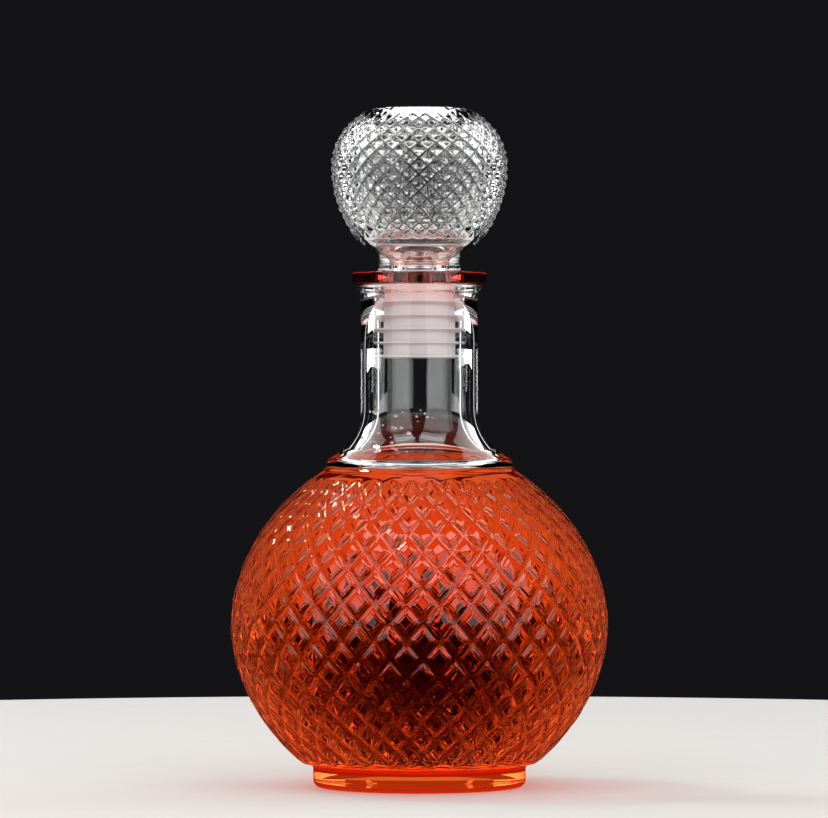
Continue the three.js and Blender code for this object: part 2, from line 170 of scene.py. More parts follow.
class Finishes(bpy.types.PropertyGroup):
    glass: colour("Glass", "Clear glass, almost white", (0.985, 0.992, 0.99))
    # Painted light: the drink's orange that shows through the solid foot, painted into the foot's
    # glass as a tint and a glow.
    painted_foot_glow_colour: colour("Painted foot glow", "Drink colour that the solid foot gathers", (1.0, 0.25, 0.05))
    glass_index: factor("Glass index", "How strongly the glass bends light", 1.5)
    waviness: factor("Waviness", "How uneven the moulded glass is", 0.05)
    drink: colour("Drink", "What the drink lets through over a set depth", (0.99, 0.46, 0.04))
    drink_density: factor("Drink density", "How quickly the drink absorbs light, per metre", 42.0)
    drink_index: factor("Drink index", "How strongly the drink bends light", 1.35)
    drops: count("Drops", "Small drops that cling inside the shoulder", 34)
    # The faint rose in the plug's colour is painted light from the red drink; the milky white is the
    # plastic's own.
    plastic: colour("Plastic", "Milky rose plastic of the plug", (0.99, 0.95, 0.96))
    # Painted light: a red absorption that stands for the drink's colour seen in the clear flange and
    # thrown onto the plug.
    painted_drink_red: colour("Painted drink red", "What thick plastic lets through", (0.74, 0.2, 0.11))
    painted_red_density: factor("Painted red density", "How quickly the plastic absorbs light, per metre", 130.0)
    floor: colour("Floor", "Pale table", (0.6, 0.59, 0.57))
    backdrop: colour("Backdrop", "Plain studio dark behind the glass", (0.007, 0.007, 0.008))


class StageSetup(bpy.types.PropertyGroup):
    distance: length("Camera distance", "From the bottle's axis", 2200.0)
    height: length("Camera height", "Where the view is level", 160.0)
    lens: factor("Lens", "Focal length for a 36 mm sensor", 258.0)
    tilt: turn("Camera tilt", "Below level", 0.52)
    sideways: length("Camera sideways", "To the left of the axis", 2.0)
    floor_radius: length("Floor radius", "Round pale table", 590.0)


# Node trees written as expressions


class Num:
    """A number that comes out of a node, for use in Python expressions."""

    def __init__(self, graph, socket):
        self.graph = graph
        self.socket = socket

    def __add__(self, other):
        return self.graph.math("ADD", self, other)

    def __radd__(self, other):
        return self.graph.math("ADD", other, self)

    def __sub__(self, other):
        return self.graph.math("SUBTRACT", self, other)

    def __rsub__(self, other):
        return self.graph.math("SUBTRACT", other, self)

    def __mul__(self, other):
        return self.graph.math("MULTIPLY", self, other)

    def __rmul__(self, other):
        return self.graph.math("MULTIPLY", other, self)

    def __truediv__(self, other):
        return self.graph.math("DIVIDE", self, other)

    def __rtruediv__(self, other):
        return self.graph.math("DIVIDE", other, self)

    def __pow__(self, other):
        return self.graph.math("POWER", self, other)

    def __abs__(self):
        return self.graph.math("ABSOLUTE", self)


class Graph:
    """A node tree with one method for any node and one for maths."""

    def __init__(self, tree):
        self.tree = tree

    def node(self, kind, settings=None, values=None):
        """Adds a node, sets its settings first and then its sockets, by name or number."""
        made = self.tree.nodes.new(kind)
        for key, value in (settings or {}).items():
            setattr(made, key, value)
        for key, value in (values or {}).items():
            self.feed(made.inputs[key], value)
        return made

    def feed(self, socket, value):
        """Links a number or socket to a socket, or sets a plain value there."""
        if isinstance(value, Num):
            value = value.socket
        if isinstance(value, bpy.types.NodeSocket):
            self.tree.links.new(value, socket)
        else:
            socket.default_value = value

    def blend(self, share, first, second):
        """A colour between two colours."""
        values = {0: share, 6: first, 7: second}
        return self.node("ShaderNodeMix", {"data_type": "RGBA"}, values).outputs[2]

    def mixed(self, share, first, second):
        """One shader's output that turns into another's by a share."""
        return self.node("ShaderNodeMixShader", values={0: share, 1: first, 2: second}).outputs[0]

    def math(self, operation, *values):
        settings = {"operation": operation}
        made = self.node("ShaderNodeMath", settings, dict(enumerate(values)))
        return Num(self, made.outputs[0])

    def number(self, socket):
        return Num(self, socket)

    def minimum(self, first, second):
        return self.math("MINIMUM", first, second)

    def clamp(self, value):
        return self.minimum(self.math("MAXIMUM", value, 0.0), 1.0)

    def axes(self, vector):
        """The three numbers of a vector."""
        split = self.node("ShaderNodeSeparateXYZ", values={0: vector})
        return [Num(self, output) for output in split.outputs]

    def vector(self, x, y, z):
        return self.node("ShaderNodeCombineXYZ", values={0: x, 1: y, 2: z}).outputs[0]


def new_tree(name, source, result, inputs):
    """A geometry tree with its named inputs: its graph, the inputs' sockets and the last node."""
    tree = bpy.data.node_groups.new(name, "GeometryNodeTree")
    tree.interface.new_socket(source, in_out="INPUT", socket_type="NodeSocketGeometry")
    for label, kind in inputs:
        tree.interface.new_socket(label, in_out="INPUT", socket_type=kind)
    tree.interface.new_socket(result, in_out="OUTPUT", socket_type="NodeSocketGeometry")
    graph = Graph(tree)
    return graph, graph.node("NodeGroupInput").outputs, graph.node("NodeGroupOutput")


# The turned skin with its band of diamonds, made by geometry nodes

WELD_DISTANCE = 0.002 * MM
SKIN_INPUTS = (
    ("Columns", "NodeSocketInt"),
    ("Steps per column", "NodeSocketInt"),
    ("Steps per half row", "NodeSocketInt"),
    ("Band start", "NodeSocketInt"),
    ("Band rows", "NodeSocketInt"),
    ("Turn", "NodeSocketFloat"),
    ("Groove depth", "NodeSocketFloat"),
    ("Bevel share", "NodeSocketFloat"),
    ("Pad dome", "NodeSocketFloat"),
    ("Weld distance", "NodeSocketFloat"),
    ("Finish", "NodeSocketMaterial"),
)


def flat_skin(graph, into, outline):
    """A flat sheet, one unit to a step round and to an outline point, with the band's faces cut
    along both diagonals so that the grooves run along edges."""
    points = graph.node(
        "GeometryNodeAttributeDomainSize", {"component": "MESH"}, {"Geometry": outline}
    )
    rings = graph.number(points.outputs["Point Count"])
    around = into["Columns"] * into["Steps per column"]
    grid = graph.node(
        "GeometryNodeMeshGrid",
        values={
            "Size X": around,
            "Size Y": rings - 1.0,
            "Vertices X": around + 1.0,
            "Vertices Y": rings,
        },
    )
    corner = graph.vector(around / 2.0, (rings - 1.0) / 2.0, 0.0)
    moved = graph.node(
        "GeometryNodeSetPosition", values={"Geometry": grid.outputs["Mesh"], "Offset": corner}
    )
    place = graph.node("GeometryNodeInputPosition").outputs[0]
    up = graph.axes(place)[1]
    end = into["Band start"] + into["Band rows"] * into["Steps per half row"]
    above = graph.node(
        "FunctionNodeCompare", {"operation": "GREATER_THAN"}, {0: up, 1: into["Band start"]}
    )
    below = graph.node("FunctionNodeCompare", {"operation": "LESS_THAN"}, {0: up, 1: end})
    inside = graph.node(
        "FunctionNodeBooleanMath", {"operation": "AND"}, {0: above.outputs[0], 1: below.outputs[0]}
    )
    raised = graph.node(
        "GeometryNodeExtrudeMesh",
        {"mode": "FACES"},
        {
            "Mesh": moved.outputs[0],
            "Selection": inside.outputs[0],
            "Offset Scale": 0.0,
            "Individual": True,
        },
    )
    pinched = graph.node(
        "GeometryNodeScaleElements",
        {"domain": "FACE"},
        {"Geometry": raised.outputs["Mesh"], "Selection": raised.outputs["Top"], "Scale": 0.0},
    )
    return graph.node(
        "GeometryNodeMergeByDistance", values={"Geometry": pinched.outputs[0], "Distance": 0.01}
    ).outputs[0]


def sampled(graph, outline, index):
    """The outline's point with the given number, as radius and height."""
    place = graph.node("GeometryNodeInputPosition").outputs[0]
    sample = graph.node(
        "GeometryNodeSampleIndex",
        {"data_type": "FLOAT_VECTOR", "domain": "POINT", "clamp": True},
        {"Geometry": outline, "Value": place, "Index": index},
    )
    radius, _, height = graph.axes(sample.outputs[0])
    return radius, height


def relief_depth(graph, into, across, up):
    """How far the surface lies below the pads' crests. Grooves lie where either slanted
    coordinate is whole, and run out over the first and the last half row."""
    column = across / into["Steps per column"]
    row = (up - into["Band start"]) / into["Steps per half row"]
    edges = []
    for slanted in (column + row / 2.0, column - row / 2.0):
        part = graph.math("FRACT", slanted)
        edges.append(0.5 - abs(part - 0.5))
    edge = graph.minimum(*edges)
    bevel = into["Bevel share"]
    rise = graph.clamp(edge / bevel)
    to_middle = graph.clamp((0.5 - edge) / (0.5001 - bevel))
    fade = graph.clamp(graph.minimum(row, into["Band rows"] - row))
    return fade * (into["Groove depth"] * (1.0 - rise) + into["Pad dome"] * to_middle * to_middle)


def skin_tree():
    """The tree that turns an outline into a closed skin with a band of diamonds."""
    graph, sockets, end = new_tree("turned_skin", "Outline", "Skin", SKIN_INPUTS)
    into = {name: graph.number(sockets[name]) for name, _ in SKIN_INPUTS}
    outline = sockets["Outline"]
    sheet = flat_skin(graph, into, outline)
    place = graph.node("GeometryNodeInputPosition").outputs[0]
    across, up, _ = graph.axes(place)
    whole = graph.math("FLOOR", up + 0.001)
    share = up - whole
    radius, height = sampled(graph, outline, whole)
    next_radius, next_height = sampled(graph, outline, whole + 1.0)
    out, rise = next_radius - radius, next_height - height
    span = graph.math("SQRT", out * out + rise * rise + 1e-12)
    depth = relief_depth(graph, into, across, up)
    radius = radius + out * share - depth * rise / span
    height = height + rise * share + depth * out / span
    around = into["Columns"] * into["Steps per column"]
    angle = into["Turn"] + across * math.tau / around
    position = graph.vector(
        radius * graph.math("COSINE", angle), radius * graph.math("SINE", angle), height
    )
    wrapped = graph.node(
        "GeometryNodeSetPosition", values={"Geometry": sheet, "Position": position}
    )
    welded = graph.node(
        "GeometryNodeMergeByDistance",
        values={"Geometry": wrapped.outputs[0], "Distance": into["Weld distance"]},
    )
    smooth = graph.node("GeometryNodeSetShadeSmooth", values={"Geometry": welded.outputs[0]})
    real = graph.node("GeometryNodeRealizeInstances", values={"Geometry": smooth.outputs[0]})
    dressed = graph.node(
        "GeometryNodeSetMaterial",
        values={"Geometry": real.outputs[0], "Material": into["Finish"]},
    )
    graph.feed(end.inputs["Skin"], dressed.outputs[0])
    return graph.tree


def placed(name, data):
    """An object with the given data, in the scene."""
    made = bpy.data.objects.new(name, data)
    bpy.context.scene.collection.objects.link(made)
    return made


def made_plain(piece, tree, inputs):
    """Runs a tree on an object with the given inputs and keeps the result as its plain mesh."""
    modifier = piece.modifiers.new(tree.name, "NODES")
    modifier.node_group = tree
    for socket in tree.interface.items_tree:
        if socket.in_out == "INPUT" and socket.name in inputs:
            modifier[socket.identifier] = inputs[socket.name]
    view = bpy.context.evaluated_depsgraph_get()
    made = bpy.data.meshes.new_from_object(piece.evaluated_get(view))
    source = piece.data
    piece.modifiers.clear()
    piece.data = made
    made.name = piece.name
    bpy.data.meshes.remove(source)
    if len(made.polygons) == 0:
        raise RuntimeError(f"{piece.name} came out empty")
    return piece


def turned_piece(name, outline, material, columns, steps, band=None, **relief):
    """A closed piece turned from an outline, with its diamonds, as a plain mesh object."""
    mesh = bpy.data.meshes.new(name + "_outline")
    edges = [(index, index + 1) for index in range(len(outline) - 1)]
    mesh.from_pydata([(radius, 0.0, height) for radius, height in outline], edges, [])
    piece = placed(name, mesh)
    start, rows, row_steps = band or (0, 0, 1)
    inputs = {
        "Columns": columns,
        "Steps per column": steps,
        "Steps per half row": row_steps,
        "Band start": start,
        "Band rows": rows,
        "Turn": relief.get("turned", 0.0),
        "Groove depth": relief.get("groove", 0.0),
        "Bevel share": relief.get("bevel", 0.5),
        "Pad dome": relief.get("dome", 0.0),
        "Weld distance": WELD_DISTANCE,
        "Finish": material,
    }
    tree = bpy.data.node_groups.get("turned_skin") or skin_tree()
    return made_plain(piece, tree, inputs)


# Outlines, as lists of radius and height

PLAIN_COLUMNS, PLAIN_STEPS = 36, 4  # round a piece with no diamonds
SMALL_STEPS = 4  # along a curve, like the next eight
UNDERSIDE_STEPS = 5
EDGE_STEPS = 6
FILLET_STEPS = 8
TABLE_EDGE_STEPS = 10
INNER_FLARE_STEPS = 12
FLARE_STEPS = 14
CAVITY_STEPS = 30
WALL_STEPS = 40
SURFACE_POINTS = 26
WALL_OVERLAP = 0.15 * MM
MENISCUS = 1.0 * MM
MENISCUS_FALL = 14  # the larger, the closer to the wall the drink's surface is level again


def arc(radius, height, size, start, end, steps):
    """Points on an arc about a centre, in degrees from the outward direction."""
    angles = np.radians(np.linspace(start, end, steps + 1))
    return [(radius + size * math.cos(a), height + size * math.sin(a)) for a in angles]


def evenly(points, steps):
    """The same curve with points at even distances."""
    points = np.array(points)
    lengths = np.concatenate([[0.0], np.cumsum(np.hypot(*np.diff(points, axis=0).T))])
    wanted = np.linspace(0.0, lengths[-1], steps + 1)
    return [tuple(float(np.interp(w, lengths, points[:, axis])) for axis in (0, 1)) for w in wanted]


class BottleShape:
    """The bottle's outline, worked out from its sizes."""

    fine_steps = 600
    row_steps = 4
    recess_points = (0.0, 0.4, 0.8)  # shares of the recess's flat middle
    bowl_end, rim_start = 40, 200  # degrees, from the recess to the ring that stands
    ledge_inset, ledge_rise = 0.3, 0.12  # shares of the ledge
    plain_points = (0.8, 0.15)  # shares of the plain part above the diamonds
    step_foot = 250  # degrees, where the step at the shoulder starts
    lip_underside = -70  # degrees
    floor_points = (0.98, 0.9, 0.75, 0.5, 0.25, 0.0)  # shares of the inner floor

    def __init__(self, sizes):
        self.s = sizes
        self.globe_radius = BOTTLE_BOX[1].x
        self.lip_top = BOTTLE_BOX[1].z
        self.lip_foot = self.lip_top - sizes.lip_height
        self.neck_foot = self.lip_foot - sizes.neck_length
        self.neck_radius = sizes.bore_radius + sizes.neck_wall
        slope = sizes.flare_slope
        flare_end = self.neck_radius + sizes.flare_radius * (1 - math.cos(slope))
        rounding = sizes.shoulder_round * (1 - math.cos(slope))
        self.shoulder_radius = flare_end + sizes.shoulder_run + rounding
        self.ledge_radius = sizes.foot_radius + sizes.foot_cove + sizes.foot_ledge
        self.globe_centre = sizes.foot_height + self.rise(self.ledge_radius)
        self.shoulder_foot = self.globe_centre + self.rise(self.shoulder_radius)

    def rise(self, radius, wall=0.0):
        """Height above the globe's middle at which it has the given radius."""
        n = self.s.globe_fullness
        share = radius / (self.globe_radius - wall)
        return (self.s.globe_half_height - wall) * (1 - share**n) ** (1 / n)

    def globe(self, start, end, steps, wall=0.0):
        """The globe's outline between two heights above its middle, evenly spaced."""
        n = self.s.globe_fullness
        tall = self.s.globe_half_height - wall
        wide = self.globe_radius - wall
        ends = [math.copysign(math.asin((abs(h) / tall) ** (n / 2)), h) for h in (start, end)]
        points = []
        for a in np.linspace(*ends, self.fine_steps):
            height = math.copysign(tall * abs(math.sin(a)) ** (2 / n), a)
            points.append((wide * math.cos(a) ** (2 / n), self.globe_centre + height))
        return evenly(points, steps)

    def foot(self):
        s = self.s
        edge = s.foot_radius - s.foot_round
        middle = s.recess_radius - s.recess_depth
        half = s.recess_depth / 2
        cove = (s.foot_radius + s.foot_cove, s.foot_height - s.foot_cove)
        return [
            *[(middle * share, s.recess_depth) for share in self.recess_points],
            *arc(middle, 0.0, s.recess_depth, 90, self.bowl_end, SMALL_STEPS),
            *arc(s.recess_radius + s.recess_depth, half, half, self.rim_start, 270, SMALL_STEPS),
            (edge - s.recess_depth, 0.0),
            *arc(edge, s.foot_round, s.foot_round, -90, 0, FILLET_STEPS),
            *arc(*cove, s.foot_cove, 180, 90, EDGE_STEPS),
            (self.ledge_radius - s.foot_ledge * self.ledge_inset, s.foot_height),
            (self.ledge_radius, s.foot_height + s.foot_ledge * self.ledge_rise),
        ]

    def band(self):
        bottom = -self.rise(self.ledge_radius + self.s.plain_below)
        top = self.rise(self.shoulder_radius + self.s.plain_above)
        return self.globe(bottom, top, self.s.rows * self.row_steps)

    def shoulder(self):
        s = self.s
        ends = [self.rise(self.shoulder_radius + s.plain_above * at) for at in self.plain_points]
        step = s.shoulder_step / 2
        foot = (self.shoulder_radius + step, self.shoulder_foot + step)
        top = (self.shoulder_radius - s.shoulder_round, self.shoulder_foot + s.shoulder_step)
        return [
            *self.globe(*ends, SMALL_STEPS),
            *arc(*foot, step, self.step_foot, 180, SMALL_STEPS),
            *arc(*top, s.shoulder_round, 0, math.degrees(s.flare_slope), EDGE_STEPS),
        ]

    def neck(self):
        s = self.s
        flare = (self.neck_radius + s.flare_radius, self.neck_foot, s.flare_radius)
        start = 180 + math.degrees(s.flare_slope)
        lip = self.neck_radius + s.lip_overhang - s.lip_round
        low, high = self.lip_foot + s.lip_round, self.lip_top - s.lip_round
        return [
            *arc(*flare, start, 180, FLARE_STEPS),
            (self.neck_radius, (self.neck_foot + self.lip_foot) / 2),
            (self.neck_radius, self.lip_foot - s.lip_round * 0.3),
            *arc(lip, low, s.lip_round, self.lip_underside, 0, UNDERSIDE_STEPS),
            *arc(lip, high, s.lip_round, 0, 90, EDGE_STEPS),
            *arc(s.bore_radius + s.lip_round, high, s.lip_round, 90, 180, EDGE_STEPS),
        ]

    def hollow(self):
        """The inner wall from the bore down to the middle of the floor."""
        s = self.s
        flare = arc(
            self.neck_radius + s.flare_radius,
            self.neck_foot,
            s.flare_radius + s.neck_wall,
            180,
            180 + math.degrees(s.inner_slope),
            INNER_FLARE_STEPS,
        )
        join = flare[-1][0] + s.inner_run
        edge = s.floor_radius + s.floor_corner
        top, bottom = self.rise(join, s.globe_wall), -self.rise(edge, s.globe_wall)
        wall = self.globe(top, bottom, WALL_STEPS, s.globe_wall)
        floor = self.globe_centre - self.rise(s.floor_radius, s.globe_wall)
        dome = [
            (s.floor_radius * share, floor + s.floor_dome * (1 - share**2))
            for share in self.floor_points
        ]
        return [*flare, *wall, *dome]

    def outline(self):
        """The whole outline, and where its band of diamonds starts."""
        foot = self.foot()
        points = [*foot, *self.band(), *self.shoulder(), *self.neck(), *self.hollow()]
        return points, len(foot)


class StopperShape:
    """Outlines of the sleeve and the glass head, from their sizes."""

    fine_steps = 400
    row_steps = 4
    rib_shoulder = 0.36  # of a rib's root, where its slope to the tip starts
    throat_points = ((2.2, 0.75), (0.9, 0.2), (0.25, -0.4), (0.0, -1.0))  # in stem fillets
    flat_points = (0.0, 0.3, 0.6, 0.85)  # shares of the hollow's flat top
    plug_points = (0.0, 0.5, 0.96)  # shares of the plug's flat end

    def __init__(self, sizes):
        s = self.s = sizes
        self.flange_foot = SLEEVE_BOX[1].z - s.flange_thickness
        self.flange_top = SLEEVE_BOX[1].z
        self.flange_radius = SLEEVE_BOX[1].x
        self.plug_foot = SLEEVE_BOX[0].z
        self.socket_radius = s.spigot_radius + s.gap
        self.plug_radius = self.socket_radius + s.sleeve_wall
        self.ring_foot = self.flange_top + s.gap
        self.ring_top = self.ring_foot + s.ring_height
        fillet = s.stem_radius + s.stem_fillet * (1 - math.cos(s.stem_slope))
        fillet_top = self.ring_top + s.stem_straight + s.stem_fillet * math.sin(s.stem_slope)
        self.ball_foot_radius = fillet + s.stem_run
        self.ball_foot = fillet_top + s.stem_run / math.tan(s.stem_slope)
        self.ball_middle = self.ball_foot + self.drop(s.lower_arc, self.ball_foot_radius)

    def drop(self, curve, radius, wall=0.0):
        """Height over which an arc comes in from the widest radius to a smaller one."""
        curve, widest = curve - wall, self.s.ball_radius - wall
        return math.sqrt(curve**2 - (curve - widest + radius) ** 2)

    def ball(self, foot_radius, top_radius, steps, wall=0.0):
        s = self.s
        widest = s.ball_radius - wall
        low, high = s.lower_arc - wall, s.upper_arc - wall
        start = -math.degrees(math.acos(1 - (widest - foot_radius) / low))
        end = math.degrees(math.acos(1 - (widest - top_radius) / high))
        lower = arc(widest - low, self.ball_middle, low, start, 0, self.fine_steps)
        upper = arc(widest - high, self.ball_middle, high, 0, end, self.fine_steps)
        return evenly([*lower, *upper[1:]], steps)

    def ribs(self, bore_radius):
        s = self.s
        tip = bore_radius - s.gap
        lowest = self.plug_foot + s.rib_root / 2
        spacing = (self.flange_foot - s.rib_depth - lowest) / (s.rib_count - 1)
        points = []
        for number in range(s.rib_count):
            height = lowest + number * spacing
            slope = s.rib_root * self.rib_shoulder
            points += [
                (self.plug_radius, height - s.rib_root / 2),
                (self.plug_radius + s.rib_tip / 2, height - slope),
                *arc(tip - s.rib_tip / 2, height, s.rib_tip / 2, -90, 90, EDGE_STEPS),
                (self.plug_radius + s.rib_tip / 2, height + slope),
                (self.plug_radius, height + s.rib_root / 2),
            ]
        return points

    def sleeve(self, bore_radius):
        s = self.s
        edge = s.flange_round
        rim = self.flange_radius - edge
        socket_foot = self.plug_foot + s.sleeve_floor
        root = (self.plug_radius + edge, self.flange_foot - edge)
        corner = (self.socket_radius - edge, socket_foot + edge)
        return [
            *[(self.plug_radius * share, self.plug_foot) for share in self.plug_points],
            *self.ribs(bore_radius),
            *arc(*root, edge, 180, 90, SMALL_STEPS),
            *arc(rim, self.flange_foot + edge, edge, -90, 0, EDGE_STEPS),
            *arc(rim, self.flange_top - edge, edge, 0, 90, EDGE_STEPS),
            *arc(self.socket_radius + edge, self.flange_top - edge, edge, 90, 180, SMALL_STEPS),
            (self.socket_radius, (self.flange_top + socket_foot) / 2),
            *arc(*corner, edge, 0, -90, SMALL_STEPS),
            (self.socket_radius * 0.5, socket_foot),
            (0.0, socket_foot),
        ]

    def head_inside(self):
        s = self.s
        throat = self.ball_foot - s.stem_fillet
        widest = self.ball_foot_radius - s.ball_wall
        cavity = self.ball(widest, s.inner_top, CAVITY_STEPS, s.ball_wall)[::-1]
        top, dome = cavity[0][1], s.recess_depth * 0.3
        flat = [(s.inner_top * at, top + dome * (1 - at**2)) for at in self.flat_points]
        neck = [
            (s.bore_radius + s.stem_fillet * out, throat + s.stem_fillet * up)
            for out, up in self.throat_points
        ]
        end = (s.bore_radius, self.ring_foot - s.stem_fillet)
        return [*flat, *cavity, *evenly(neck, FILLET_STEPS), end]

    def head(self):
        """The head's outline, and where its band of diamonds starts."""
        s = self.s
        foot = HEAD_BOX[0].z
        soft = s.ring_round / 2
        ring = s.ring_radius - s.ring_round
        stem = (s.stem_radius + s.stem_fillet, self.ring_top + s.stem_straight)
        below = [
            *self.head_inside(),
            *arc(s.bore_radius + soft, foot + soft, soft, 180, 270, SMALL_STEPS),
            *arc(s.spigot_radius - soft, foot + soft, soft, -90, 0, SMALL_STEPS),
            (s.spigot_radius, (foot + self.ring_foot) / 2),
            (s.spigot_radius, self.ring_foot - soft),
            (s.spigot_radius + soft / 2, self.ring_foot),
            *arc(ring, self.ring_foot + s.ring_round, s.ring_round, -90, 0, EDGE_STEPS),
            *arc(ring, self.ring_top - s.ring_round, s.ring_round, 0, 60, UNDERSIDE_STEPS),
            (s.stem_radius, self.ring_top),
            *arc(*stem, s.stem_fillet, 180, 180 - math.degrees(s.stem_slope), FILLET_STEPS),
            (self.ball_foot_radius - s.stem_fillet / 4, self.ball_foot - s.stem_fillet / 4),
        ]
        pattern = self.ball(
            self.ball_foot_radius, s.top_radius + s.plain_above, s.rows * self.row_steps
        )
        top, deep = HEAD_BOX[1].z, s.recess_depth
        edge = [
            (s.top_radius + s.plain_above * 0.45, top - deep * 0.8),
            (s.top_radius, top - deep * 0.1),
            (s.top_radius - deep, top),
            (s.recess_radius + deep, top),
            (s.recess_radius, top - deep * 0.2),
            (s.recess_radius - deep, top - deep * 0.8),
            (s.recess_radius - deep * 2, top - deep),
            (s.recess_radius * 0.5, top - deep),
            (0.0, top - deep),
        ]
        return [*below, *pattern, *edge], len(below)


def drink_outline(bottle, level, overlap, meniscus):
    """The drink's outline from the middle of the floor up the wall to its surface. It reaches a
    hair into the glass, so that light meets glass and drink with no air between them, and its
    surface climbs the wall by the meniscus."""
    wall = np.array(bottle.hollow()[::-1])
    along = np.gradient(wall, axis=0)
    along /= np.hypot(*along.T)[:, None]
    wall = wall + overlap * np.stack([along[:, 1], -along[:, 0]], axis=1)
    wall[0] = (0.0, wall[0][1])
    below = [tuple(point) for point in wall.tolist() if point[1] < level]
    side = wall[len(bottle.floor_points) :]
    at_level = float(np.interp(level, side[:, 1], side[:, 0]))
    surface = [
        (at_level * (1 - share), level - meniscus * (1 - math.exp(-share * MENISCUS_FALL)))
        for share in np.linspace(0.0, 1.0, SURFACE_POINTS).tolist()
    ]
    return [*below, *surface]


# Materials

BOTTLE_WAVES = 45.0  # to a metre, like the next four and each scale
BALL_WAVES = 70.0
DROP_WAVES = 900.0
FLANGE_WAVES = 160.0
PLUG_WAVES = 400.0
STIPPLE_SCALE, STIPPLE_DEPTH = 520.0, 7.0
SMUDGE_SCALE, SMUDGE_DETAIL, SMUDGE_FROM, SMUDGE_HAZE = 28.0, 5.0, 0.54, 0.08
# Share of a painted orange glow in the foot's glass, on the next line.
FOOT_PAINTED_GLOW_SHARE = 0.32
PLUG_GLOW, PLUG_ROUGHNESS = 0.35, 0.35
PLASTIC_INDEX = 1.49
MILKY_RUN = 0.8 * MM
SURFACE_DEPTH = 1.5 * MM
FLOOR_BLOTCHES, FLOOR_ROUGHNESS = 60.0, 0.85
CLEAR = (1.0, 1.0, 1.0, 1.0)
DROP_TINT = (1.0, 0.93, 0.88, 1.0)
# Faint painted pink on the clear flange, from the drink's red.
FLANGE_PAINTED_PINK = (1.0, 0.97, 0.96, 1.0)
GLASS_PASSES = (0.95, 0.95, 0.95)  # what a body lets through on the way to a lamp
DRINK_PASSES = (1.0, 0.6, 0.3)
# Painted pink on light that passes the clear flange on its way to the lamps.
FLANGE_PAINTED_PINK_PASSES = (1.0, 0.8, 0.78)


def new_material(name):
    """A material with an empty tree and its output node."""
    material = bpy.data.materials.new(name)
    material.use_nodes = True
    material.node_tree.nodes.clear()
    graph = Graph(material.node_tree)
    output = graph.node("ShaderNodeOutputMaterial")
    return material, graph, output


def place_on(graph):
    """The three numbers of the place on the object."""
    return graph.axes(graph.node("ShaderNodeTexCoord").outputs["Object"])


def speckle(graph, scale, detail=2.0):
    """Soft random blotches, about 1 / scale metres across."""
    place = graph.node("ShaderNodeTexCoord").outputs["Object"]
    values = {"Vector": place, "Scale": scale, "Detail": detail}
    return graph.number(graph.node("ShaderNodeTexNoise", values=values).outputs[0])


def bumped(graph, strength, height):
    """A normal that follows a height in millimetres, times the strength."""
    values = {"Strength": strength, "Distance": MM, "Height": height}
    return graph.node("ShaderNodeBump", values=values).outputs[0]


def waves(graph, scale, strength):
    """A bump that makes moulded glass or plastic slightly uneven."""
    return bumped(graph, strength, speckle(graph, scale))


def solid_body(graph, tint, roughness, more):
    """A Principled shader with the given colour, roughness and other values."""
    values = {"Base Color": tint, "Roughness": roughness} | more
    return graph.node("ShaderNodeBsdfPrincipled", values=values).outputs[0]


def clear_body(graph, tint, roughness, index, more=None):
    """The same for a clear body, which bends the light that goes through it."""
    values = {"IOR": index, "Transmission Weight": 1.0} | (more or {})
    return solid_body(graph, tint, roughness, values)


def absorbs(graph, output, tint, density):
    """Colours light by the way that it goes through the body."""
    values = {"Color": (*tint, 1.0), "Density": density}
    volume = graph.node("ShaderNodeVolumeAbsorption", values=values)
    graph.feed(output.inputs["Volume"], volume.outputs[0])


def glowing(graph, tint):
    """Light from the other side, scattered."""
    return graph.node("ShaderNodeBsdfTranslucent", values={"Color": (*tint, 1.0)}).outputs[0]


def lets_lamps_through(graph, surface, tint):
    """The surface for every ray but those towards lamps, which pass with a tint."""
    path = graph.node("ShaderNodeLightPath").outputs["Is Shadow Ray"]
    clear = graph.node("ShaderNodeBsdfTransparent", values={"Color": (*tint, 1.0)})
    return graph.mixed(path, surface, clear.outputs[0])


def wetted_share(graph, shape, level):
    """1 on the inside of the bottle's wall where the drink touches it, and 0 elsewhere: inside a
    surface halfway through the wall, below the drink's level and above the foot."""
    s = shape.s
    x, y, z = place_on(graph)
    radius = graph.math("SQRT", x * x + y * y)
    half_wall = s.globe_wall / 2
    n = s.globe_fullness
    across = (radius / (shape.globe_radius - half_wall)) ** n
    up = (abs(z - shape.globe_centre) / (s.globe_half_height - half_wall)) ** n
    inside = graph.math("LESS_THAN", across + up, 1.0)
    below = graph.math("LESS_THAN", z, level - 0.2 * MM)
    above = graph.math("GREATER_THAN", z, (s.recess_depth + DRINK_BOX[0].z) / 2)
    return inside * below * above


def without_mirror(graph, index, glass, share):
    """The glass surface, but bending light only where the share is 1. Glass and drink bend light
    almost alike, so the real wall mirrors next to nothing where they touch."""
    bend = graph.node(
        "ShaderNodeBsdfRefraction",
        values={"Color": CLEAR, "Roughness": 0.0, "IOR": index},
    )
    return graph.mixed(share, glass, bend.outputs[0])


